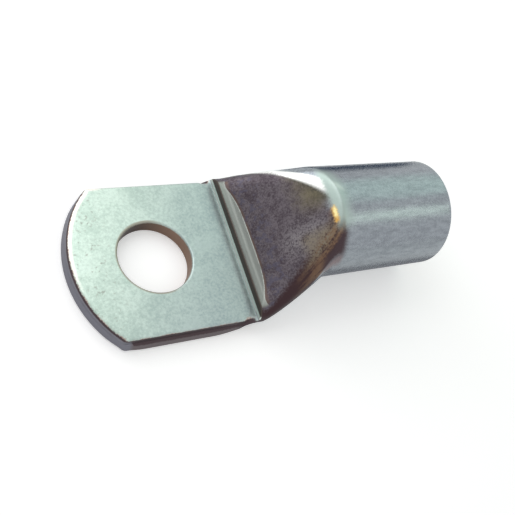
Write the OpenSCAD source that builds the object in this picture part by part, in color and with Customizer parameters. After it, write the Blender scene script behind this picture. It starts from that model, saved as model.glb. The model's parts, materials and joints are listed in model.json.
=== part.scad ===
// Tubular cable lug: one length of copper tube, left round at the barrel,
// pressed flat at the other end and coined there into a palm with a stud hole.
// Origin: centre of the stud hole, on the underside. +X runs to the barrel mouth.

/* [Palm] */
// Diameter of the stud hole, clearance for an M8 stud
stud_hole_d = 8.4; // [6.4:0.1:9]
// Width of the palm between its trimmed sides
palm_w = 17.8; // [17.4:0.1:18]
// Thickness of the coined palm
palm_t = 1.9; // [1.7:0.1:2.3]
// Distance from the hole centre to the end of the palm
palm_reach = 9.4; // [8.6:0.1:10.4]
// Radius of the arc that ends the palm
end_r = 12.6; // [11.4:0.1:16]
// Radius of the two corners where that arc meets the sides
corner_r = 0.8; // [0.4:0.1:1.4]
// How far the burnished lower half of a cut edge stands out past the top
edge_spread = 0.6; // [0.2:0.05:0.7]

/* [Tube] */
// Outside diameter of the barrel
tube_od = 12.8; // [12.4:0.1:13]
// Wall thickness of the tube
tube_wall = 1.6; // [1.4:0.05:1.7]
// Distance from the hole centre to the mouth of the barrel
mouth_x = 34; // [28:0.1:44]
// Chamfer at the mouth, outside and inside
mouth_chamfer = 0.25; // [0.1:0.05:0.4]

/* [Transition] */
// Distance from the hole centre to the foot of the step between palm and tube
step_x = 9.55; // [9:0.05:10]
// How far the step leans back over its height, the draft of the coining punch
step_draft = 0.1; // [0.05:0.05:0.2]
// Width of the flat ledge above the step, at its middle
ledge_w = 1.7; // [1.2:0.1:2]
// Distance from the hole centre to where the flared sides meet the round barrel
flare_x = 17.3; // [16.8:0.1:18.5]
// Length of the rounded crest where the ramp turns onto the top of the barrel
crest_run = 2; // [1.4:0.1:2.6]

/* [Hidden] */

tube_r = tube_od / 2;
bore_r = tube_r - tube_wall;
// Pressed shut, the tube is two walls thick, and its outline keeps its length
flat_t = 2 * tube_wall;
girth = PI * tube_od;

// Arc and rounded corners that end the palm
end_arc_x = end_r - palm_reach;
corner_x = end_arc_x - sqrt(pow(end_r - corner_r, 2) - pow(palm_w / 2 - corner_r, 2));
// The corners stop turning short of the arc, so that it crosses them cleanly
corner_turn = 0.75 * asin((end_arc_x - corner_x) / (end_r - corner_r));
corner_len = corner_r * sin(corner_turn);

// Cut edges: rough above shear_z, burnished and standing out below it
shear_z = palm_t / 2;
edge_round = 0.25;
end_spread = 0.4 * edge_spread;
end_roll = 0.35;
hole_roll = 0.3;
// The side's spread fades out from fade_x to the step, and also towards the corners
fade_x = 3.5;
corner_fade = 0.7;
corner_fade_len = 1.2;
// The palm widens into the pressed tube from shoulder_x to the step
shoulder_x = step_x - 1.5;
shoulder_power = 0.6;

// The folds open from open_x, slowly at first
open_x = step_x + 0.85;
open_power = 1.3;
// Ramp of the forming punch, from the ledge up to the crest
ramp_x = step_x + step_draft + ledge_w;
crest_x = flare_x + 1.3;
ramp_slope = (tube_od - flat_t) / (crest_x - crest_run / 2 - ramp_x);
ramp_lead = 0.3;
// The ledge narrows towards the folds
ledge_bow = 1.2;
ledge_bow_power = 4;
// The ramp's edge is rounded over crease_w, and the punch pushes the folds out a little
crease_w = 0.4;
upset = 0.2;
upset_run = 2;

// The skins end just inside the barrel, clear of its surface
seat_gap = 0.01;
seat_len = 0.3;
seat_lead = 0.4;
// Inside, the two walls have parted from here on
cavity_x = ramp_x + 0.5;
// Cutting tools reach this far past what they cut
past = 1;

// Points of a quarter outline: along the fold, then along the flat
fold_steps = 6;
flat_steps = 10;
quarter_steps = fold_steps + flat_steps;
$fn = 128;

function mix(a, b, t) = a + (b - a) * t;
function unit(t) = min(1, max(0, t));
function ease(t) = t * t * (3 - 2 * t);
function steps(a, b, n) = [for (i = [0:n]) mix(a, b, i / n)];
// The lower of a and b, with the crease between them rounded over width w
function soft_min(a, b, w) =
    let (h = unit(0.5 + (b - a) / w / 2)) mix(b, a, h) - w * h * (1 - h);

// How far the tube is open at x, from 0 pressed shut to 1 round
function opened(x) = pow(unit((x - open_x) / (flare_x - open_x)), open_power);
function tube_h(x) = mix(flat_t, tube_od, opened(x));
// Half width of the flat between the folds, from the constant girth
function half_flat(x) = (girth - PI * tube_h(x)) / 4;

// Height of the forming punch above the point (x, y)
function ramp_z(x, y) =
    let (narrowed = ledge_bow * pow(abs(y) / half_flat(step_x), ledge_bow_power))
    flat_t + ramp_slope * max(0, x - ramp_x + narrowed);
function crest_z(x) =
    tube_od - ramp_slope / (2 * crest_run) * pow(max(0, crest_x - x), 2);
function punch_z(x, y) =
    x > crest_x - crest_run ? max(crest_z(x), ramp_z(x, y)) : ramp_z(x, y);

// How far the upper part of a fold is pushed out at x, at a share of its height
function upset_y(x, share) =
    upset * sqrt(unit(share)) * ease(unit((x - open_x) / upset_run))
    * (1 - ease(unit((x - flare_x) / upset_run + 1)));

// Point j of a quarter of the tube's outline, from the tip of the fold to the
// middle of the flat, about the centre of the tube
function tube_point(j, x, inset) =
    let (
        r = tube_h(x) / 2 - inset,
        arc = r * PI / 2,
        whole = arc + half_flat(x),
        fold = mix(arc, whole / 2, opened(x)),
        s = j <= fold_steps ? fold * j / fold_steps
                            : mix(fold, whole, (j - fold_steps) / flat_steps),
        a = 90 * min(1, s / arc)
    )
    [half_flat(x) + r * cos(a) - max(0, s - arc), r * sin(a)];

// The same point on the tube after the forming punch has pressed its top down
function formed_point(j, x, up, inset) =
    let (
        p = tube_point(j, x, inset),
        z = tube_h(x) / 2 + up * p[1],
        out = inset > 0 || up < 0 ? 0 : upset_y(x, 2 * p[1] / tube_h(x)),
        w = crease_w * ease(unit(x - open_x))
            * (1 - ease(unit((x - flare_x) / (crest_x - flare_x))))
    )
    [
        p[0] + out * unit(p[0] / half_flat(step_x)),
        up > 0 && w > 0 ? soft_min(z, punch_z(x, p[0]) - inset, w) : z
    ];

// Half width of the palm, with its corners, and the spread of its cut sides
function side_w(x) =
    let (into = max(0, corner_x - x))
    palm_w / 2 - corner_r + sqrt(pow(corner_r, 2) - pow(min(into, corner_len), 2))
    - tan(corner_turn) * max(0, into - corner_len);
function side_out(x, z) =
    edge_spread * (1 - ease(unit((x - fade_x) / (step_x - fade_x))))
    * (1 - corner_fade * ease(unit((corner_x - x) / corner_fade_len + 1)))
    * lookup(z, [[0, 0.5], [edge_round, 1], [shear_z, 0]]);

// The same point on the palm, which blends into the pressed tube at the shoulder
function palm_point(j, x, up) =
    let (
        z = mix(shear_z, up > 0 ? palm_t : 0, min(1, j / fold_steps)),
        y = (side_w(x) + side_out(x, z)) * min(1, (quarter_steps - j) / flat_steps),
        p = tube_point(j, x, 0),
        shut = [p[0], min(palm_t, flat_t / 2 + up * p[1])],
        blend = pow(unit((x - shoulder_x) / (step_x - shoulder_x)), shoulder_power)
    )
    mix([y, z], shut, blend);

// Closed ring of points at x: four quarters, the second and fourth run backwards
function ring(x, inset = 0, palm = false) = [
    for (q = [0:3], i = [0:quarter_steps - 1])
        let (
            j = q % 2 == 0 ? i : quarter_steps - i,
            up = q < 2 ? 1 : -1,
            side = q == 0 || q == 3 ? 1 : -1,
            p = palm ? palm_point(j, x, up) : formed_point(j, x, up, inset)
        )
        [x, side * p[0], p[1]]
];
// Two round rings of radius r that end a skin inside the barrel
function seat_rings(r) = [
    for (x = [crest_x, crest_x + seat_len])
        [for (p = ring(crest_x)) [x, p[1] * r / tube_r, tube_r + (p[2] - tube_r) * r / tube_r]]
];

// Solid through a list of rings that all have the same number of points, with
// each end closed by a fan round the middle of its ring
module skin(rings) {
    n = len(rings[0]);
    last = (len(rings) - 1) * n;
    middles = [for (r = [rings[0], rings[len(rings) - 1]]) (r[n / 4] + r[3 * n / 4]) / 2];
    first_middle = last + n;
    polyhedron(
        points = [each [for (r = rings, p = r) p], each middles],
        faces = [
            for (i = [0:n - 1])
                let (j = (i + 1) % n)
                each [
                    [first_middle, i, j],
                    [first_middle + 1, last + j, last + i],
                    for (a = [0:n:last - n])
                        each [[a + i, a + n + i, a + j], [a + j, a + n + i, a + n + j]]
                ]
        ]
    );
}

// Palm, step, ledge, ramp and flared folds, as one continuous skin
module formed_end() {
    palm_xs = concat(
        [-palm_reach - past], steps(corner_x - corner_len, corner_x, 4),
        [corner_x + corner_fade_len], steps(fade_x, shoulder_x, 4),
        [for (t = [0.08, 0.25, 0.5, 0.75, 1]) mix(shoulder_x, step_x, t)]
    );
    tube_xs = concat(
        steps(step_x + step_draft, ramp_x, 5), steps(ramp_x + ramp_lead, crest_x - crest_run, 9),
        steps(flare_x, crest_x - seat_lead, 2)
    );
    skin(concat(
        [for (x = palm_xs) ring(x, palm = true)],
        [for (x = tube_xs) ring(x)],
        seat_rings(tube_r - seat_gap)
    ));
}

// Space inside the flared part, one wall thickness within its skin
module cavity() {
    xs = concat(
        steps(cavity_x, crest_x - crest_run, 6), steps(flare_x, crest_x - seat_lead, 2)
    );
    skin(concat([for (x = xs) ring(x, tube_wall)], seat_rings(bore_r - seat_gap)));
}

// Turned shapes along the barrel's axis, from x to the mouth
module along_barrel(x) {
    translate([x, 0, tube_r]) rotate([0, 90, 0]) rotate_extrude() children();
}
module barrel() {
    length = mouth_x - crest_x;
    along_barrel(crest_x) polygon([
        [0, 0], [tube_r, 0], [tube_r, length - mouth_chamfer],
        [tube_r - mouth_chamfer, length], [0, length]
    ]);
}
module bore() {
    length = mouth_x - crest_x;
    along_barrel(crest_x) polygon([
        [0, 0], [bore_r, 0], [bore_r, length - mouth_chamfer],
        [bore_r + 2 * mouth_chamfer, length + mouth_chamfer], [0, length + mouth_chamfer]
    ]);
}

// Punched hole, whose top edge is rolled over
module stud_hole() {
    r = stud_hole_d / 2;
    translate([0, 0, -past]) cylinder(r = r, h = palm_t + 2 * past);
    translate([0, 0, palm_t - hole_roll]) rotate_extrude() difference() {
        square([r + hole_roll, 2 * hole_roll]);
        translate([r + hole_roll, 0]) circle(r = hole_roll);
    }
}

// What the end die cuts away: everything past the arc, whose edge rolls over on top
module end_offcut() {
    roll_r = end_r - end_roll;
    roll_z = palm_t - end_roll;
    edge = concat(
        [[end_r + end_spread / 2, -past], [end_r + end_spread / 2, 0]],
        [[end_r + end_spread, edge_round], [end_r, shear_z]],
        [for (a = [0:15:90]) [roll_r + end_roll * cos(a), roll_z + end_roll * sin(a)]],
        [[roll_r, palm_t + past]]
    );
    translate([end_arc_x, 0, 0]) difference() {
        translate([-2 * end_r, -end_r, -past / 2])
            cube([2 * end_r + corner_x - end_arc_x + past, 2 * end_r, palm_t + past]);
        rotate_extrude() polygon(concat([[0, -past]], edge, [[0, palm_t + past]]));
    }
}

module cable_lug() {
    color("#b4bfb9") difference() {
        union() {
            formed_end();
            barrel();
        }
        cavity();
        bore();
        stud_hole();
        end_offcut();
    }
}

cable_lug();
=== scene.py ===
"""Looks of a tubular cable lug: tinned copper tube, pressed flat and coined into a palm.

The whole lug is one closed mesh in one material. It is made of strips of points that
meet edge to edge: the palm's two faces and its cut sides, the punched hole, the formed
end with its step, ledge, ramp and folds, the round barrel, and the hollow inside.
Lengths are millimetres until Skin.mesh() writes them in metres. Coats are laid by place,
in the same millimetres.
"""
import json
import math

import bmesh
import bpy
import numpy as np
from mathutils import Matrix, Vector


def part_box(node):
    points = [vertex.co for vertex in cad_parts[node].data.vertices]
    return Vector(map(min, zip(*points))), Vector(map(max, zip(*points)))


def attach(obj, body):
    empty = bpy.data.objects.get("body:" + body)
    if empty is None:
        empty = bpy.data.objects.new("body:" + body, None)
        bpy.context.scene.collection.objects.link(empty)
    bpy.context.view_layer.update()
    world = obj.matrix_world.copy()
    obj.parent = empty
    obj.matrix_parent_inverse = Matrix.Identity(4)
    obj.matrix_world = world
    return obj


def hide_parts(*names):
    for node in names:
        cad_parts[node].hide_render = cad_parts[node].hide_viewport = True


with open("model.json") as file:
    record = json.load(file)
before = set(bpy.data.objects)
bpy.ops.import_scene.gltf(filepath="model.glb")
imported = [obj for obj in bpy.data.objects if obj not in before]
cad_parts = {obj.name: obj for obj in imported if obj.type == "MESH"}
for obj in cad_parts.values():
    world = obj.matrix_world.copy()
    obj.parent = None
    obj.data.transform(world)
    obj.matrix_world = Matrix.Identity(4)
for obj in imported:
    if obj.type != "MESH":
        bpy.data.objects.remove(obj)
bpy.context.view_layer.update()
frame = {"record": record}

MM = 0.001
NODE = "cable_lug"

low, high = (np.array(corner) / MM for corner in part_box(NODE))
bores = {m["name"]: m["dims"]["r_mm"] for m in frame["record"]["mounts"] if m["kind"] == "bore"}

# Main sizes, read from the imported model
MOUTH_X = high[0]
TUBE_R = high[2] / 2
BORE_R = bores["barrel_bore"]
HOLE_R = bores["stud_hole"]
WALL = TUBE_R - BORE_R
FLAT_T = 2 * WALL
GIRTH = 2 * math.pi * TUBE_R

# Palm
PALM_T = 1.9
SHEAR_Z = PALM_T / 2
SIDE_W = 8.9
SIDE_SPREAD = high[1] - SIDE_W
END_SPREAD = 0.24
PALM_REACH = -low[0] - END_SPREAD
END_R = 12.6
CORNER_R = 0.8
SIDE_ROLL, END_ROLL, HOLE_ROLL = 0.16, 0.4, 0.2
CORNER_DIP, CORNER_DIP_LEN = 0.45, 1.1
BOTTOM_ROUND, FOOT_GAP = 0.25, 0.1
SHEAR_LIP, SHEAR_SHARE = 0.06, 0.25

# Step and shoulder
STEP_X = 9.55
STEP_DRAFT = 0.1
LEDGE_W = 1.7
FADE_X = 4.5
SHOULDER_X = STEP_X - 1.5
SHOULDER_POWER = 0.6

# Transition from the pressed tube to the round barrel
FLARE_X = 17.3
CREST_RUN = 2.0
OPEN_X = STEP_X + 0.85
OPEN_POWER = 1.3
FLARE_BLEND, FLARE_BLEND_X, SHUT_BLEND = 0.1, OPEN_X + 2, 1e-4
RAMP_X = STEP_X + STEP_DRAFT + LEDGE_W
CREST_X = FLARE_X + 1.3
RAMP_SLOPE = (2 * TUBE_R - FLAT_T) / (CREST_X - CREST_RUN / 2 - RAMP_X)
LEDGE_BOW = 1.2
UPSET, UPSET_RISE, UPSET_FALL = 0.2, 2.0, 3.0
CAVITY_X = RAMP_X + 0.5

# Rounded creases and edges
CREASE_MIN, CREASE_MAX, CREASE_FULL_X = 0.2, 1.1, FLARE_X - 2
STEP_FOOT_R, STEP_EDGE_R = 0.08, 0.18
HOLE_FLARE = 0.12
MOUTH_ROUND, MOUTH_CHAMFER = 0.2, 0.25

# Points of a quarter outline, up the fold and along the flat, and columns round the palm
FOLD_STEPS, FLAT_STEPS = 14, 48
QUARTER = FOLD_STEPS + FLAT_STEPS
SIDE_COLUMNS, CORNER_COLUMNS, END_COLUMNS = 84, 9, 96
FACE_ROWS, LEDGE_RINGS, RAMP_RINGS = 28, 26, 60
SIDE_BIAS, FACE_BIAS = 0.9, 1.15
RAMP_LEAD, BARREL_STEP = 0.4, 0.4
SHARP_ANGLE = math.radians(40)

# Camera, in millimetres and degrees
CAMERA_PLACE = (-30.33, -29.82, 66.87)
CAMERA_TARGET = (13.48, -0.79, 0)
CAMERA_ROLL = 42.75
CAMERA_LENS = 50

# Reflection colours, linear. Tin plate: pressed bright and cool, drawn dull, and tarnished. Some of them are
# painted light and shade, as marked.
TIN_DEEP, TIN_PALE = (0.39, 0.495, 0.435), (0.57, 0.685, 0.61)
COOL_DEEP, COOL_PALE, PIT_TINT = (0.275, 0.335, 0.35), (0.395, 0.47, 0.46), (0.24, 0.24, 0.21)
TUBE_DEEP, TUBE_PALE = (0.205, 0.225, 0.25), (0.305, 0.335, 0.365)
# The step wall's foot colour below is a painted highlight, and its wall colour on the next line is painted
# shade.
LEDGE_TINT, WALL_FOOT_HIGHLIGHT = (0.29, 0.31, 0.29), (0.62, 0.68, 0.64)
# The crease colour on this line is painted shade in the crease behind the ledge.
WALL_SHADE, CREASE_SHADE = (0.08, 0.065, 0.058), (0.11, 0.08, 0.07)
# The crest colour on this line is a painted highlight on the crest.
# The pink colour on this line is a painted pinkish reflection on the near fold.
CREST_SHEEN, PINK_REFLECTION = (0.36, 0.44, 0.41), (0.20, 0.16, 0.168)
# The scoop colours below are tarnish, darkened further as a painted dark reflection.
SCOOP_DEEP, SCOOP_PALE, SCOOP_WORN = (0.06, 0.048, 0.058), (0.135, 0.118, 0.132), (0.21, 0.195, 0.205)
# The last colour on this line is a painted highlight on the wedge of the far fold.
SCOOP_OLIVE, SCOOP_BLUE, WEDGE_HIGHLIGHT = (0.17, 0.15, 0.085), (0.085, 0.08, 0.115), (0.95, 0.96, 0.93)
# The colours on this line are a painted golden glint and its paler middle.
GLINT_HALO, GLINT_CORE = (0.62, 0.36, 0.10), (1.0, 0.86, 0.42)
# Copper that shows where the plate is rubbed or cut through. The lines after it also hold painted shade and
# painted highlights, as marked.
COPPER_PALE, COPPER_DEEP, COPPER_WORN = (0.20, 0.125, 0.078), (0.05, 0.03, 0.033), (0.20, 0.17, 0.125)
EDGE_WEAR = (0.42, 0.33, 0.29)
# The corner colour on this line is painted shade in the corner of the near fold and the barrel.
# The fold colour on this line is painted shade on the far fold.
CORNER_SHADE, FAR_FOLD_SHADE = (0.065, 0.045, 0.05), (0.075, 0.072, 0.06)
# The cut-side colours on this line are darkened with painted shade.
CUT_HIGH_SHADE, CUT_LOW, CUT_SIDE = (0.075, 0.055, 0.06), (0.185, 0.185, 0.215), (0.15, 0.13, 0.135)
# The first colour on this line is painted shade on the hole's rim.
# The second colour on this line is a painted highlight on the rolled rim of the palm's end.
HOLE_RIM_SHADE, END_RIM_HIGHLIGHT = (0.30, 0.27, 0.22), (0.80, 0.77, 0.70)
# The hole colours on this line are the punched copper wall, with painted shade on its -X side.
HOLE_SHADED, HOLE_PALE, BORE_TINT = (0.045, 0.03, 0.025), (0.24, 0.16, 0.12), (0.46, 0.43, 0.40)
BORE_METAL = 0.4
BUMP_STRENGTH, BUMP_HEIGHT = 0.3, 0.05

# Studio
WORLD_FILL = 0.6
FLOOR_SIZE = 2.0
FLOOR_TINT, FLOOR_LIFT = (0.9, 0.9, 0.9), 0.34
# Height of the dark sheets that paint shadows on the floor for the reflections.
SHADOW_SHEET_Z = 0.1


def mix(a, b, t):
    return a + (b - a) * t


def unit(t):
    return np.clip(t, 0.0, 1.0)


def ease(t):
    t = unit(t)
    return t * t * (3 - 2 * t)


def soft_min(a, b, width):
    """The lower of a and b, with the crease between them rounded over width."""
    h = unit(0.5 + 0.5 * (b - a) / width)
    return mix(b, a, h) - width * h * (1 - h)


# ---------------------------------------------------------------- the formed tube


def opened(x):
    """How far the tube is open at x, from 0 pressed shut to 1 round."""
    free = np.maximum(0, (x - OPEN_X) / (FLARE_X - OPEN_X)) ** OPEN_POWER
    return soft_min(free, 1.0, np.where(x > FLARE_BLEND_X, FLARE_BLEND, SHUT_BLEND))


def tube_h(x):
    return mix(FLAT_T, 2 * TUBE_R, opened(x))


def half_flat(x):
    return (GIRTH - math.pi * tube_h(x)) / 4


def punch_z(x, y):
    """Height of the forming punch over the point (x, y). Its ledge narrows at the folds."""
    ledge_end = RAMP_X - LEDGE_BOW * (y / half_flat(STEP_X)) ** 4
    ramp = FLAT_T + RAMP_SLOPE * np.maximum(0, x - ledge_end)
    crest = 2 * TUBE_R - RAMP_SLOPE / (2 * CREST_RUN) * np.maximum(0, CREST_X - x) ** 2
    return np.where(x > CREST_X - CREST_RUN, np.maximum(ramp, crest), ramp)


def tube_quarter(x, inset=0.0):
    """A quarter of the outline, from the fold's tip to the top: half widths, heights, and lap,
    the share of the way round the fold, 0 at its tip and 1 on the flat."""
    j = np.arange(QUARTER + 1)
    r = tube_h(x) / 2 - inset
    arc = r * math.pi / 2
    whole = arc + half_flat(x)
    fold = mix(arc, whole * FOLD_STEPS / QUARTER, opened(x))
    s = np.where(j <= FOLD_STEPS, fold * j / FOLD_STEPS, mix(fold, whole, (j - FOLD_STEPS) / FLAT_STEPS))
    lap = np.minimum(1, s / max(arc, 1e-6))
    a = math.pi / 2 * lap
    return half_flat(x) + r * np.cos(a) - np.maximum(0, s - arc), r * np.sin(a), lap


def upset(x, rise):
    """How far the punch has pushed the upper part of the +Y fold out sideways."""
    along = ease((x - OPEN_X) / UPSET_RISE) * (1 - ease((x - FLARE_X + UPSET_FALL) / UPSET_FALL))
    return UPSET * along * unit(rise / tube_h(x) * 2) ** 0.5


def ring(x, punch, inset=0.0, crease=0.3):
    """Closed outline at x, pressed down on top to the height punch(x, y), and each point's lap,
    below 0 on the under half. It runs from the +Y fold's tip over the top and back below. The
    outside is pushed out by upset() on the +Y side only."""
    y, rise, lap = tube_quarter(x, inset)
    middle = tube_h(x) / 2
    limit = punch(x, y) - inset
    top = soft_min(middle + rise, limit, crease)
    wide = y if inset else y + upset(x, rise) * unit(y / half_flat(STEP_X))
    upper = np.stack([np.full_like(y, x), wide, top], 1)
    pressed = np.stack([np.full_like(y, x), -y, top], 1)
    lower = np.stack([np.full_like(y, x), y, middle - rise], 1)
    across = np.array([1, -1, 1])
    points = [upper, pressed[-2::-1], (lower * across)[1:], lower[-2:0:-1]]
    return np.concatenate(points), np.concatenate([lap, lap[-2::-1], -lap[1:], -lap[-2:0:-1]])


# ---------------------------------------------------------------- strips of the skin


def crease_at(x):
    """Width over which the ramp's edge is rounded: sharp at the ledge, wide by the crest."""
    wide = mix(CREASE_MIN, CREASE_MAX, ease((x - RAMP_X) / (CREASE_FULL_X - RAMP_X)))
    return wide * (1 - ease((x - FLARE_X) / (CREST_X - FLARE_X))) + SHUT_BLEND


def flat_punch(height):
    return lambda x, y: np.full_like(y, height)


def step_rings():
    """Rings up the step's wall: a small hollow at its foot and a rounded edge on top."""
    foot, edge = STEP_FOOT_R, STEP_EDGE_R
    top_x = STEP_X + STEP_DRAFT
    path = [(STEP_X + foot * math.sin(a), PALM_T + foot * (1 - math.cos(a)))
            for a in np.linspace(0, math.pi / 2, 5)]
    path += [(mix(STEP_X + foot, top_x, t), mix(PALM_T + foot, FLAT_T - edge, t))
             for t in np.linspace(0, 1, 8)[1:]]
    path += [(top_x + edge * (1 - math.cos(a)), FLAT_T - edge * (1 - math.sin(a)))
             for a in np.linspace(0, math.pi / 2, 7)[1:]]
    return [ring(x, flat_punch(z), crease=CREASE_MIN / 3) for x, z in path]


def formed_rings(inset=0.0):
    """Rings of the formed end, from the ledge to the round barrel, or of the hollow when inset."""
    start = STEP_X + STEP_DRAFT + STEP_EDGE_R
    near = [] if inset else list(np.linspace(start, RAMP_X + RAMP_LEAD, LEDGE_RINGS)[1:])
    far = np.linspace(near[-1] if near else CAVITY_X, CREST_X, RAMP_RINGS)[1 if near else 0:]
    xs = sorted(set(near) | set(far) | {FLARE_X})
    return [ring(x, punch_z, inset, crease_at(x)) for x in xs]


def turned(profile):
    """Rings round the barrel's axis through (x, radius) points, in the order of ring()."""
    whole, lap = ring(CREST_X, flat_punch(4 * TUBE_R))
    unit_ring = (whole - [0, 0, TUBE_R]) / TUBE_R
    rows = []
    for x, r in profile:
        row = unit_ring * r + [0, 0, TUBE_R]
        row[:, 0] = x
        rows.append((row, lap))
    return rows


def corner_place():
    """Centre of the rounded corner between the palm's side and its round end, for y above 0."""
    end_x = END_R - PALM_REACH
    y = SIDE_W - CORNER_R
    return end_x - math.sqrt((END_R - CORNER_R) ** 2 - y ** 2), y


def outline():
    """Columns along the palm's cut edge, from the -Y end of the step round the end to its +Y
    end: place, direction out, share of the way into the round end, and shoulder blend."""
    end_x = END_R - PALM_REACH
    corner_x = corner_place()[0]
    turn = math.asin((end_x - corner_x) / (END_R - CORNER_R))
    side_xs = mix(STEP_X, corner_x, np.linspace(0, 1, SIDE_COLUMNS) ** SIDE_BIAS)
    columns = [((x, -SIDE_W), 0.0) for x in side_xs]
    for a in np.linspace(0, turn, CORNER_COLUMNS)[1:]:
        corner_y = CORNER_R - SIDE_W - CORNER_R * math.cos(a)
        columns.append(((corner_x - CORNER_R * math.sin(a), corner_y), a))
    for a in np.linspace(turn, math.pi - turn, END_COLUMNS)[1:]:
        columns.append(((end_x - END_R * math.sin(a), -END_R * math.cos(a)), a))
    mirrored = columns[SIDE_COLUMNS + CORNER_COLUMNS - 3::-1]
    columns += [((x, -y), math.pi - a) for (x, y), a in mirrored]
    made = []
    for (x, y), a in columns:
        into_end = float(ease(min(a, math.pi - a) / turn))
        shoulder = float(unit((x - SHOULDER_X) / (STEP_X - SHOULDER_X))) ** SHOULDER_POWER
        made.append((np.array([x, y]), np.array([-math.sin(a), -math.cos(a)]), into_end, shoulder))
    return made


def cut_profile(roll, spread):
    """(distance out, height) down a cut edge: rolled over on top, straight through the rough
    part, then the burnished part that stands out, and its rounded foot."""
    arc = np.linspace(0, math.pi / 2, 7)
    path = [(-roll * (1 - math.sin(a)), PALM_T - roll * (1 - math.cos(a))) for a in arc]
    path += [(0, mix(PALM_T - roll, SHEAR_Z, t)) for t in (0.33, 0.66, 1)]
    path += [(spread * mix(SHEAR_SHARE, 1, t), mix(SHEAR_Z - SHEAR_LIP, BOTTOM_ROUND, t))
             for t in np.linspace(0, 1, 8)]
    foot = BOTTOM_ROUND
    path += [(spread - foot * (1 - math.cos(a)), foot * (1 - math.sin(a)))
             for a in np.linspace(0, math.pi / 2, 7)[1:]]
    path += [(spread - foot - FOOT_GAP * k, 0) for k in range(1, 2 * FOLD_STEPS + 2 - len(path))]
    return np.array(path)


def cut_edges(step_ring):
    """Rows down the palm's cut edge by columns along it; its two ends lie on step_ring."""
    ends = {-1: step_ring[2 * QUARTER - FOLD_STEPS:2 * QUARTER + FOLD_STEPS + 1],
            1: np.roll(step_ring, FOLD_STEPS, 0)[2 * FOLD_STEPS::-1]}
    columns = []
    corner = corner_place()
    for place, out, into_end, shoulder in outline():
        fade = 1 - ease((place[0] - FADE_X) / (STEP_X + 1.5 - FADE_X))
        from_corner = math.hypot(place[0] - corner[0], abs(place[1]) - corner[1])
        dip = 1 - CORNER_DIP * math.exp(-(from_corner / CORNER_DIP_LEN) ** 2)
        spread = mix(SIDE_SPREAD * fade, END_SPREAD, into_end) * dip
        path = cut_profile(mix(SIDE_ROLL, END_ROLL, into_end), spread)
        column = np.column_stack([place + path[:, :1] * out, path[:, 1]])
        if shoulder > 0:
            fold = ends[1 if place[1] > 0 else -1] * [0, 1, 1] + [place[0], 0, 0]
            column = mix(column, fold, shoulder)
        columns.append(column)
    return np.array(columns).transpose(1, 0, 2)


def palm_face(border, direction, rim, z):
    """Rows of a face of the palm from the hole's rim out to the border, a closed loop."""
    inner = np.column_stack([direction * rim, np.full(len(border), z)])
    t = np.linspace(0, 1, FACE_ROWS)[:, None, None] ** FACE_BIAS
    return mix(inner[None], border[None], t)


def hole_rows(direction):
    """Rows down the punched hole's wall: rolled over on top, with a small flare at the foot."""
    path = [(HOLE_R + HOLE_ROLL * (1 - math.sin(a)), PALM_T - HOLE_ROLL * (1 - math.cos(a)))
            for a in np.linspace(0, math.pi / 2, 7)]
    path += [(HOLE_R, mix(PALM_T - HOLE_ROLL, HOLE_FLARE, t)) for t in np.linspace(0, 1, 8)[1:]]
    path += [(HOLE_R + HOLE_FLARE, 0)]
    return np.array([np.column_stack([direction * r, np.full(len(direction), z)]) for r, z in path])


# ---------------------------------------------------------------- the whole skin


class Skin:
    """Strips of points that meet edge to edge. Points that meet become one."""

    MASKS = ("lap", "cut", "punched", "hollow")

    def __init__(self):
        self.points, self.masks, self.faces, self.count = [], [], [], 0

    def add(self, rows, closed, **masks):
        rows = np.asarray(rows)
        n_rows, n_columns = rows.shape[:2]
        values = [np.broadcast_to(masks.get(name, 0.0), (n_rows, n_columns)).ravel() for name in self.MASKS]
        self.points.append(rows.reshape(-1, 3))
        self.masks.append(np.stack(values, 1))
        index = self.count + np.arange(n_rows * n_columns).reshape(n_rows, n_columns)
        if closed:
            index = np.concatenate([index, index[:, :1]], 1)
        quads = [index[:-1, :-1], index[1:, :-1], index[1:, 1:], index[:-1, 1:]]
        self.faces.append(np.stack([q.ravel() for q in quads], 1))
        self.count += n_rows * n_columns

    def mesh(self, name):
        points, masks = np.concatenate(self.points), np.concatenate(self.masks)
        keys = np.round(points * 1e5).astype(np.int64)
        _, first, same = np.unique(keys, axis=0, return_index=True, return_inverse=True)
        same = same.ravel()
        merged = np.full((len(first), masks.shape[1]), -1.0)
        np.maximum.at(merged, same, masks)
        faces = []
        for quad in same[np.concatenate(self.faces)]:
            corners = list(dict.fromkeys(quad.tolist()))
            if len(corners) > 2:
                faces.append(corners)
        mesh = bpy.data.meshes.new(name)
        mesh.from_pydata((points[first] * MM).tolist(), [], faces)
        for k, mask in enumerate(self.MASKS):
            layer = mesh.attributes.new(mask, "FLOAT", "POINT")
            layer.data.foreach_set("value", merged[:, k].astype(np.float32))
        return mesh


def add_rings(skin, rings, **masks):
    skin.add([points for points, _ in rings], True, lap=np.array([lap for _, lap in rings]), **masks)


def add_palm(skin, step_ring):
    """The palm's two faces, the punched hole and the cut edge, up to the foot of the step."""
    edges = cut_edges(step_ring)
    top = np.concatenate([edges[0], step_ring[FOLD_STEPS + 1:2 * QUARTER - FOLD_STEPS]])
    below = step_ring[4 * QUARTER - FOLD_STEPS - 1:2 * QUARTER + FOLD_STEPS:-1]
    bottom = np.concatenate([edges[-1], below])
    direction = top[:, :2] / np.linalg.norm(top[:, :2], axis=1)[:, None]
    skin.add(palm_face(top, direction, HOLE_R + HOLE_ROLL, PALM_T), True)
    skin.add(palm_face(bottom, direction, HOLE_R + HOLE_FLARE, 0), True)
    skin.add(hole_rows(direction), True, punched=1.0)
    skin.add(edges, False, cut=1.0)


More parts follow.
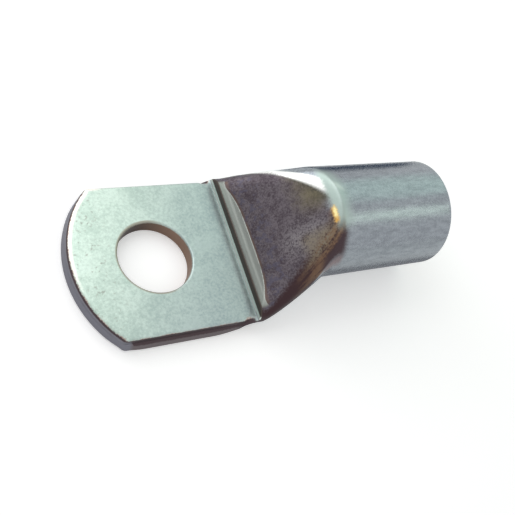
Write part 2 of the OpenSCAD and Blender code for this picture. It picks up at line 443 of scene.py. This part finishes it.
def add_tube(skin, up_step):
    """The outside from the step to the lip of the mouth, and the hollow back to its closed end."""
    barrel_xs = np.linspace(CREST_X, MOUTH_X - MOUTH_ROUND, round((MOUTH_X - CREST_X) / BARREL_STEP))
    lip = [(MOUTH_X - MOUTH_ROUND * (1 - math.sin(a)), TUBE_R - MOUTH_ROUND * (1 - math.cos(a)))
           for a in np.linspace(0, math.pi / 2, 6)[1:]]
    chamfer = [(MOUTH_X - MOUTH_CHAMFER, BORE_R), (MOUTH_X, BORE_R + MOUTH_CHAMFER)]
    add_rings(skin, up_step + formed_rings() + turned([(x, TUBE_R) for x in barrel_xs] + lip))
    inside = formed_rings(WALL) + turned([(x, BORE_R) for x in barrel_xs] + chamfer + [lip[-1]])
    end, lap = inside[0]
    closed_end = (np.tile(end.mean(0), (len(end), 1)), lap * 0)
    add_rings(skin, [closed_end] + inside, hollow=1.0)


def build_lug():
    skin = Skin()
    up_step = step_rings()
    add_palm(skin, up_step[0][0])
    add_tube(skin, up_step)
    mesh = skin.mesh("cable_lug_skin")
    bm = bmesh.new()
    bm.from_mesh(mesh)
    bmesh.ops.recalc_face_normals(bm, faces=bm.faces)
    bm.to_mesh(mesh)
    bm.free()
    mesh.shade_smooth()
    mesh.set_sharp_from_angle(angle=SHARP_ANGLE)
    lug = bpy.data.objects.new("tinned_lug", mesh)
    bpy.context.scene.collection.objects.link(lug)
    return lug


# ---------------------------------------------------------------- stage, light, camera


def material(name):
    made = bpy.data.materials.new(name)
    made.use_nodes = True
    made.node_tree.nodes.clear()
    return made, made.node_tree


def node(tree, kind, inputs=(), **settings):
    """A shader node. inputs maps a socket's name or number to a value or to another socket."""
    made = tree.nodes.new("ShaderNode" + kind)
    for key, value in settings.items():
        setattr(made, key, value)
    for key, value in dict(inputs).items():
        socket = made.inputs[key]
        if isinstance(value, bpy.types.NodeSocket):
            tree.links.new(value, socket)
        else:
            socket.default_value = value
    return made


def seen_directly(tree):
    """1 for camera, mirror and glass rays, which all see the plain white background."""
    rays = node(tree, "LightPath")
    direct = rays.outputs["Is Camera Ray"]
    for kind in ("Is Glossy Ray", "Is Transmission Ray"):
        direct = node(tree, "Math", {0: direct, 1: rays.outputs[kind]}, operation="MAXIMUM").outputs[0]
    return direct


def studio_world():
    world = bpy.data.worlds.new("studio")
    bpy.context.scene.world = world
    world.use_nodes = True
    tree = world.node_tree
    tree.nodes.clear()
    strength = node(tree, "MapRange", {"Value": seen_directly(tree), "To Min": WORLD_FILL, "To Max": 1.0})
    sky = node(tree, "Background", {"Color": (1, 1, 1, 1), "Strength": strength.outputs[0]})
    out = node(tree, "OutputWorld")
    tree.links.new(sky.outputs[0], out.inputs["Surface"])


def studio_floor():
    bpy.ops.mesh.primitive_plane_add(size=FLOOR_SIZE)
    floor = bpy.context.object
    floor.name = "floor"
    made, tree = material("floor_white")
    board = node(tree, "BsdfDiffuse", {"Color": (*FLOOR_TINT, 1)})
    lift = node(tree, "MapRange", {"Value": seen_directly(tree), "To Min": 0.0, "To Max": FLOOR_LIFT})
    glow = node(tree, "Emission", {"Color": (1, 1, 1, 1), "Strength": lift.outputs[0]})
    both = node(tree, "AddShader", {0: board.outputs[0], 1: glow.outputs[0]})
    node(tree, "OutputMaterial", {"Surface": both.outputs[0]})
    floor.data.materials.append(made)
    return floor


def lamp(name, place, target, size, watts, colour=(1, 1, 1)):
    """A square soft box at place, in millimetres, turned to face target."""
    light = bpy.data.lights.new(name, "AREA")
    light.size = size * MM
    light.energy = watts
    light.color = colour
    made = bpy.data.objects.new(name, light)
    bpy.context.scene.collection.objects.link(made)
    made.location = Vector(place) * MM
    made.rotation_euler = (Vector(target) - Vector(place)).to_track_quat("-Z", "Y").to_euler()
    return made


def painted_shadow_sheet(name, corners, tint):
    """A painted shadow: a dark glowing sheet just above the floor, with corners in millimetres, seen only in
    mirror rays.
    """
    mesh = bpy.data.meshes.new(name)
    mesh.from_pydata([(x * MM, y * MM, SHADOW_SHEET_Z * MM) for x, y in corners], [], [(0, 1, 2, 3)])
    made = bpy.data.objects.new(name, mesh)
    bpy.context.scene.collection.objects.link(made)
    dark, tree = material(name)
    glow = node(tree, "Emission", {"Color": (*tint, 1), "Strength": 1.0})
    node(tree, "OutputMaterial", {"Surface": glow.outputs[0]})
    mesh.materials.append(dark)
    for kind in ("camera", "diffuse", "transmission", "shadow"):
        setattr(made, "visible_" + kind, False)
    return made


def photo_camera():
    data = bpy.data.cameras.new("camera")
    data.lens = CAMERA_LENS
    data.clip_start = 0.001
    made = bpy.data.objects.new("camera", data)
    bpy.context.scene.collection.objects.link(made)
    place = Vector(CAMERA_PLACE)
    aim = (Vector(CAMERA_TARGET) - place).to_track_quat("-Z", "Y").to_matrix().to_4x4()
    roll = Matrix.Rotation(math.radians(CAMERA_ROLL), 4, "Z")
    made.matrix_world = Matrix.Translation(place * MM) @ aim @ roll
    bpy.context.scene.camera = made


# ---------------------------------------------------------------- tinned copper


class Finish:
    """The metal's colour, roughness and relief, laid down coat by coat. Coordinates and
    sizes are the lug's own, in millimetres, and a mask is 1 where its coat lies."""

    def __init__(self, tree):
        self.tree = tree
        self.place = node(tree, "TexCoord").outputs["Object"]
        axes = node(tree, "SeparateXYZ", {0: self.place})
        self.x, self.y, self.z = (self.math("MULTIPLY", axis, 1 / MM) for axis in axes.outputs)
        for name in Skin.MASKS:
            setattr(self, name, node(tree, "Attribute", attribute_name=name).outputs["Fac"])
        self.colour, self.rough, self.relief = (1, 1, 1), 0.36, 0.0

    def math(self, operation, *values):
        return node(self.tree, "Math", dict(enumerate(values)), operation=operation).outputs[0]

    def plus(self, a, b):
        return self.math("ADD", a, b)

    def times(self, *values):
        made = values[0]
        for value in values[1:]:
            made = self.math("MULTIPLY", made, value)
        return made

    def rise(self, value, start, end, low=0.0, high=1.0):
        """Smooth change from low at start to high at end, which may be the lesser one."""
        inputs = {"Value": value, "From Min": start, "From Max": end, "To Min": low, "To Max": high}
        return node(self.tree, "MapRange", inputs, interpolation_type="SMOOTHSTEP").outputs[0]

    def band(self, value, start, end, soft):
        up = self.rise(value, start - soft, start + soft)
        return self.times(up, self.rise(value, end + soft, end - soft))

    def noise(self, size, detail=3.0, rough=0.55, stretch=(1, 1, 1), offset=0.0):
        """Noise from 0 to 1 whose features are about size millimetres across."""
        move = {"Vector": self.place, "Location": (offset, 0, 0), "Scale": stretch}
        where = node(self.tree, "Mapping", move).outputs[0]
        inputs = {"Vector": where, "Scale": 1 / (size * MM), "Detail": detail, "Roughness": rough}
        return node(self.tree, "TexNoise", inputs).outputs["Fac"]

    def stray(self, value, noise, reach):
        """value moved up and down by as much as reach, to make a coat's border uneven."""
        return self.plus(value, self.math("MULTIPLY_ADD", noise, 2 * reach, -reach))

    def tones(self, share, a, b):
        """Colour or value a where share is 0 and b where it is 1."""
        coloured = not isinstance(a, float)
        made = node(self.tree, "Mix", {0: share}, data_type="RGBA" if coloured else "FLOAT")
        sockets, result = ((6, 7), 2) if coloured else ((2, 3), 0)
        for k, value in zip(sockets, (a, b)):
            if isinstance(value, bpy.types.NodeSocket):
                self.tree.links.new(value, made.inputs[k])
            else:
                made.inputs[k].default_value = (*value, 1) if coloured else value
        return made.outputs[result]

    def coat(self, mask, colour, rough=None):
        self.colour = self.tones(mask, self.colour, colour)
        if rough is not None:
            mixed = node(self.tree, "Mix", {0: mask, 2: self.rough, 3: rough}, data_type="FLOAT")
            self.rough = mixed.outputs[0]


# Where the palm's coats start and end. A span may run backwards.
INWARD_TILT = -0.4
COOL_PATCH_SPAN, COOL_SPAN = (-5, 6), (-9, 9)
PIT_SPAN = (-3.5, -6.5)
RIM_HIGHLIGHT_X, RIM_HIGHLIGHT_Y = (-3.5, -5.0), (-4.0, 2.0)
END_SPAN, SHEAR_LINE = (-4.6, -5.2), (0.68, 1.5)
ROLLED_Z, WORN_Z = (PALM_T - 0.3, PALM_T - 0.02), (PALM_T - 0.03, PALM_T - 0.09)
CUT_Z, HOLE_WALL_Z = (PALM_T - 0.06, PALM_T - 0.16), (PALM_T - 0.08, PALM_T - 0.3)
HOLE_RIM_SHADE_X, HOLE_SHADE_X = (2.4, 0.0), (-2.0, 3.8)


def palm_coats(f):
    """The palm's tin: mottled, greener at the free end, bluer towards the step, and pitted."""
    fine, grain, patches = f.noise(0.13, 2), f.noise(0.3, 5, 0.72), f.noise(3.0, 4, 0.6)
    share = f.rise(f.plus(f.times(grain, 0.6), f.times(patches, 0.4)), 0.36, 0.64)
    inward = f.math("MULTIPLY_ADD", f.y, INWARD_TILT, f.x)
    cool_patch = f.rise(f.stray(patches, grain, 0.15), 0.45, 0.7)
    cool_patch = f.times(cool_patch, f.rise(inward, *COOL_PATCH_SPAN, 0.1, 0.95))
    cool = f.math("MAXIMUM", cool_patch, f.rise(inward, *COOL_SPAN, 0.0, 0.9))
    f.colour = f.tones(cool, f.tones(share, TIN_DEEP, TIN_PALE), f.tones(share, COOL_DEEP, COOL_PALE))
    pits = f.times(f.rise(f.noise(0.42, 2, offset=0.07), 0.6, 0.7), f.rise(f.x, *PIT_SPAN))
    f.coat(f.times(pits, 0.55), PIT_TINT)
    f.relief = f.plus(f.times(fine, 0.4), grain)


def edge_coats(f):
    """The palm's cut sides and end, darkened with painted shade, with a painted highlight on the rolled end
    rim, and the wall and rim of the punched hole, with painted shade on their -X side.
    """
    grain = f.noise(0.22, 3, offset=0.01)
    z = f.stray(f.z, grain, 0.1)
    rolled = f.times(f.cut, f.rise(f.z, *ROLLED_Z))
    # Painted highlight on the rolled rim of the palm's end.
    rim_highlight = f.times(rolled, f.rise(f.x, *RIM_HIGHLIGHT_X), f.rise(f.stray(f.y, grain, 1.5), *RIM_HIGHLIGHT_Y))
    f.coat(rim_highlight, END_RIM_HIGHLIGHT)
    worn = f.times(f.cut, f.rise(z, *WORN_Z), f.rise(f.noise(0.8, 4), 0.4, 0.55))
    f.coat(worn, EDGE_WEAR)
    # The cut sides are darkened with painted shade; the burnished part below the shear line stays paler.
    burnished = f.tones(f.rise(f.x, *END_SPAN), CUT_SIDE, CUT_LOW)
    above_shear = f.math("SUBTRACT", z, f.rise(f.x, *END_SPAN, *SHEAR_LINE))
    side = f.tones(f.rise(above_shear, -0.08, 0.08), burnished, CUT_HIGH_SHADE)
    f.coat(f.times(f.cut, f.rise(z, *CUT_Z)), side, 0.5)
    # Painted shade on the hole's rim, on its -X side.
    f.coat(f.times(f.punched, f.rise(f.x, *HOLE_RIM_SHADE_X, 0, 0.8)), HOLE_RIM_SHADE)
    # The punched copper wall, in painted shade on its -X side.
    wall = f.tones(f.rise(f.x, *HOLE_SHADE_X), HOLE_SHADED, HOLE_PALE)
    f.coat(f.times(f.punched, f.rise(z, *HOLE_WALL_Z)), wall, 0.5)


def tube_coats(f):
    """The drawn tube's duller tin, streaked along the barrel."""
    streaks = f.noise(0.45, 4, 0.6, stretch=(0.3, 1, 1), offset=0.02)
    grain = f.noise(0.25, 4, 0.65, offset=0.03)
    share = f.rise(f.plus(f.times(grain, 0.5), f.times(streaks, 0.5)), 0.34, 0.66)
    on_tube = f.rise(f.x, STEP_X - 0.04, STEP_X + 0.02)
    f.coat(on_tube, f.tones(share, TUBE_DEEP, TUBE_PALE), f.rise(grain, 0.3, 0.7, 0.22, 0.29))


# Where the formed end's coats start and end, in millimetres or in lap round the fold
COPPER_X, COPPER_Y, COPPER_LAP = (12.5, 17.2), (-0.9, -1.6), (-0.5, 0.0)
FOLD_END, FOLD_LEAN, FOLD_END_MAX = 14.5, 6.6, FLARE_X + 0.6
RUBBED_X, RUBBED_LAP = (14.4, 16.8), (0.62, 0.9)
PINK_REFLECTION_X, PINK_REFLECTION_LAP = (16.3, 18.2), (0.14, 0.3)
CORNER_X, CORNER_LAP = (15.9, 18.2), (0.22, 0.36)
CORNER_TOP_X, CORNER_TOP_LAP = (16.6, 17.8), (0.48, 0.62)
FAR_RIM_LAP, FAR_RIM_X, FAR_LAP = (0.45, 1.05), (13.5, 17.3), (-0.2, 0.1)
WEDGE_X, WEDGE_Y, WEDGE_LAP = (-0.1, 1.7), (0.0, 1.6), (0.3, 0.45)
CREST_START, CREST_FADE, CREST_Y = (16.8, 17.3), (19.8, 17.3), (-3.2, 3.8)
NEAR_RIM_X, NEAR_RIM_LAP = (10.4, 13.0), (0.6, 0.76)
SCOOP_RIM_X, SCOOP_RIM_LAP, SCOOP_END_X = (13.2, 17.0), (0.42, 0.98), (FLARE_X + 0.1, FLARE_X - 0.9)
SPOT_X = (13.6, 12.2)
WORN_X, WORN_Y = (13.4, 16.4), (-4.0, -1.4)
OLIVE_X, OLIVE_Y = (14.4, 16.8), (-1.5, 1.5)
TAN_X, TAN_Y = (14.6, 17.0), (-4.8, -2.6)
CREST_Z, GLINT_HALO_X, GLINT_HALO_Y = (9.0, 11.0), (16.95, 17.3), (-2.9, -1.1)
GLINT_X, GLINT_Y = (17.05, 17.25), (-2.3, -1.2)
CREASE_Z, LEDGE_Z, WALL_FOOT_Z = (0.35, 0.15), (0.05, 0.02), (0.35, 0.55)


class NeckFields:
    """What the coats of the formed end share: noises, uneven x and lap, and its two sides."""

    def __init__(self, f):
        self.grain = f.noise(0.22, 5, 0.66, offset=0.04)
        self.blots = f.noise(1.1, 4, 0.6, offset=0.05)
        self.x, self.lap = f.stray(f.x, self.grain, 0.25), f.stray(f.lap, self.grain, 0.07)
        self.inside = f.rise(f.x, STEP_X, STEP_X + 0.1)
        self.near, self.far = f.rise(f.y, 0.4, -0.4), f.rise(f.y, -0.4, 0.4)


def near_fold_coats(f, neck):
    """Rubbed copper on the near fold, painted shade in the corner, and a painted pinkish reflection below
    where it ends.
    """
    fold_end = f.math("MINIMUM", f.math("MULTIPLY_ADD", f.lap, FOLD_LEAN, FOLD_END), FOLD_END_MAX)
    past_end = f.math("SUBTRACT", neck.x, fold_end)
    fold = f.times(neck.inside, neck.near, f.rise(past_end, 0.25, -0.25), f.rise(neck.lap, *COPPER_LAP))
    copper = f.tones(f.rise(f.stray(f.x, neck.blots, 1.5), *COPPER_X), COPPER_DEEP, COPPER_PALE)
    round_fold = node(f.tree, "CombineXYZ", {0: f.times(f.lap, 9.0), 1: f.times(f.x, 0.5)}).outputs[0]
    streaks = node(f.tree, "TexNoise", {"Vector": round_fold, "Scale": 1.0, "Detail": 4.0}).outputs["Fac"]
    streaks = f.plus(f.times(streaks, 0.75), f.times(neck.grain, 0.25))
    copper = f.tones(f.rise(streaks, 0.57, 0.42, 0, 0.9), copper, COPPER_DEEP)
    rubbed = f.times(f.band(f.lap, *RUBBED_LAP, 0.1), f.band(f.x, *RUBBED_X, 0.7))
    rubbed = f.times(rubbed, f.rise(neck.grain, 0.34, 0.66))
    copper = f.tones(rubbed, copper, COPPER_WORN)
    f.coat(f.times(fold, f.rise(f.y, *COPPER_Y)), copper, 0.4)
    # Painted pinkish reflection below the corner.
    f.coat(f.times(neck.near, f.band(neck.x, *PINK_REFLECTION_X, 0.4), f.band(neck.lap, *PINK_REFLECTION_LAP, 0.08)), PINK_REFLECTION)
    # Painted shade in the corner where the near fold meets the barrel.
    corner = f.times(neck.near, f.band(neck.x, *CORNER_X, 0.55), f.rise(neck.lap, *CORNER_LAP))
    above_top = f.math("SUBTRACT", neck.lap, f.rise(f.x, *CORNER_TOP_X, *CORNER_TOP_LAP))
    f.coat(f.times(corner, f.rise(above_top, 0.07, -0.07)), CORNER_SHADE)


def far_fold_coats(f, neck):
    """The far fold, darkened with painted shade, and a painted highlight on the wedge between it and the
    barrel.
    """
    past_rim = f.math("SUBTRACT", neck.x, f.rise(f.lap, *FAR_RIM_LAP, *FAR_RIM_X))
    fold = f.times(neck.inside, neck.far, f.rise(neck.lap, *FAR_LAP), f.rise(past_rim, 0.1, -0.2))
    # Painted shade on the far fold.
    f.coat(fold, FAR_FOLD_SHADE)
    # Painted highlight on the wedge between the far fold and the barrel.
    wedge = f.times(f.rise(f.y, *WEDGE_Y), f.band(past_rim, *WEDGE_X, 0.45), f.rise(neck.lap, *WEDGE_LAP))
    f.coat(wedge, WEDGE_HIGHLIGHT, 0.36)


def scoop_coats(f, neck):
    """The crest, paled as a painted highlight, and the scoop in front of it, tarnished and darkened further
    as a painted dark reflection, within the rims of both folds.
    """
    grain, blots = neck.grain, neck.blots
    # Painted highlight: the crest is paler than the barrel.
    crest = f.times(f.rise(neck.x, *CREST_START), f.rise(neck.x, *CREST_FADE), f.band(f.y, *CREST_Y, 1.0))
    f.coat(crest, CREST_SHEEN, 0.5)
    near_rim = f.rise(f.x, *NEAR_RIM_X, *NEAR_RIM_LAP)
    rim = f.tones(neck.near, f.rise(f.x, *SCOOP_RIM_X, *SCOOP_RIM_LAP), near_rim)
    inside_rim = f.rise(f.math("SUBTRACT", f.stray(neck.lap, grain, 0.12), rim), -0.1, 0.14)
    scoop = f.times(neck.inside, inside_rim, f.rise(neck.x, *SCOOP_END_X))
    share = f.rise(f.plus(f.times(grain, 0.6), f.times(blots, 0.4)), 0.38, 0.62)
    # The scoop's tarnish, darkened further as a painted dark reflection.
    tarnish_and_dark_reflection = f.tones(share, SCOOP_DEEP, SCOOP_PALE)
    spots = f.times(f.rise(f.noise(0.6, 3, offset=0.06), 0.5, 0.62), f.rise(f.x, *SPOT_X))
    tarnish_and_dark_reflection = f.tones(f.times(spots, 0.6), tarnish_and_dark_reflection, SCOOP_BLUE)
    worn = f.times(f.band(f.x, *WORN_X, 0.9), f.band(f.y, *WORN_Y, 1.5), f.rise(blots, 0.3, 0.55))
    tarnish_and_dark_reflection = f.tones(f.times(worn, f.rise(grain, 0.35, 0.6)), tarnish_and_dark_reflection, SCOOP_WORN)
    olive = f.times(f.rise(f.stray(f.x, blots, 1.0), *OLIVE_X), f.rise(f.y, *OLIVE_Y))
    tarnish_and_dark_reflection = f.tones(f.times(olive, 0.75), tarnish_and_dark_reflection, SCOOP_OLIVE)
    tan = f.times(f.band(neck.x, *TAN_X, 0.5), f.band(f.y, *TAN_Y, 0.7), f.rise(grain, 0.34, 0.64, 0.3, 0.9))
    f.coat(scoop, f.tones(tan, tarnish_and_dark_reflection, COPPER_WORN), 0.45)


def glint_coats(f, neck):
    """A painted golden glint, with a paler middle, where the ramp turns over the crest."""
    on_crest = f.rise(f.z, *CREST_Z)
    x, y = f.stray(f.x, neck.grain, 0.2), f.stray(f.y, neck.grain, 0.5)
    # Painted golden glint, then its paler middle.
    f.coat(f.times(on_crest, f.band(x, *GLINT_HALO_X, 0.12), f.band(y, *GLINT_HALO_Y, 0.3)), GLINT_HALO, 0.3)
    f.coat(f.times(on_crest, f.band(x, *GLINT_X, 0.1), f.band(y, *GLINT_Y, 0.3)), GLINT_CORE, 0.25)


def step_coats(f, neck):
    """Painted shade in the crease behind the ledge, the ledge itself, and the step's wall in painted shade
    with a painted highlight at its foot.
    """
    past_step = f.rise(f.x, STEP_X, STEP_X + 0.05)
    on_top = f.times(f.rise(f.lap, 0.7, 0.9), past_step)
    z = f.stray(f.z, neck.grain, 0.03)
    above_ledge, above_palm = f.plus(z, -FLAT_T), f.plus(z, -PALM_T)
    # Painted shade in the crease behind the ledge.
    f.coat(f.times(on_top, f.rise(above_ledge, *CREASE_Z), f.rise(neck.blots, 0.2, 0.6)), CREASE_SHADE)
    f.coat(f.times(on_top, f.rise(above_ledge, *LEDGE_Z)), LEDGE_TINT, 0.5)
    on_wall = f.times(past_step, f.rise(f.x, STEP_X + 0.3, STEP_X + 0.2))
    # Painted shade on the step's wall, with a painted highlight at its foot.
    wall = f.tones(f.rise(above_palm, *WALL_FOOT_Z), WALL_FOOT_HIGHLIGHT, WALL_SHADE)
    f.coat(f.times(on_wall, f.rise(f.z, PALM_T, PALM_T + 0.1)), wall, 0.5)


def neck_coats(f):
    """The formed end, from the step to where the barrel is round."""
    neck = NeckFields(f)
    near_fold_coats(f, neck)
    far_fold_coats(f, neck)
    scoop_coats(f, neck)
    glint_coats(f, neck)
    step_coats(f, neck)


def tinned_copper():
    made, tree = material("tinned_copper")
    f = Finish(tree)
    palm_coats(f)
    edge_coats(f)
    tube_coats(f)
    neck_coats(f)
    f.coat(f.hollow, BORE_TINT, 0.55)
    metal = f.rise(f.hollow, 0.0, 1.0, 1.0, BORE_METAL)
    bump = node(tree, "Bump", {"Height": f.relief, "Strength": BUMP_STRENGTH, "Distance": BUMP_HEIGHT * MM})
    inputs = {"Base Color": f.colour, "Metallic": metal, "Roughness": f.rough, "Normal": bump.outputs[0]}
    shader = node(tree, "BsdfPrincipled", inputs)
    node(tree, "OutputMaterial", {"Surface": shader.outputs[0]})
    return made


# ---------------------------------------------------------------- the scene

lug = build_lug()
lug.data.materials.append(tinned_copper())
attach(lug, "root")
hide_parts(NODE)

studio_world()
studio_floor()
lamp("key", (-20, 60, 78), (-7, 5, 0), 90, 0.031)
lamp("window", (-110, 200, 60), (14, 0, 8), 160, 0.08)
lamp("top", (122, 60, 100), (25, 0, 10), 90, 0.011, (0.5, 1.0, 0.7))
lamp("strip", (122, -52, 111), (25, 0, 10), 34, 0.0062, (0.8, 1.0, 0.75))
# Painted shadows on the floor, seen only in reflections on the metal.
painted_shadow_sheet("far_painted_shadow", [(20, 20), (50, 20), (150, 130), (100, 130)], (0.03, 0.06, 0.12))
painted_shadow_sheet("near_painted_shadow", [(8, -10), (42, -10), (42, -5), (8, -5)], (0.33, 0.34, 0.36))
photo_camera()
scene = bpy.context.scene
scene.view_settings.view_transform = "Standard"
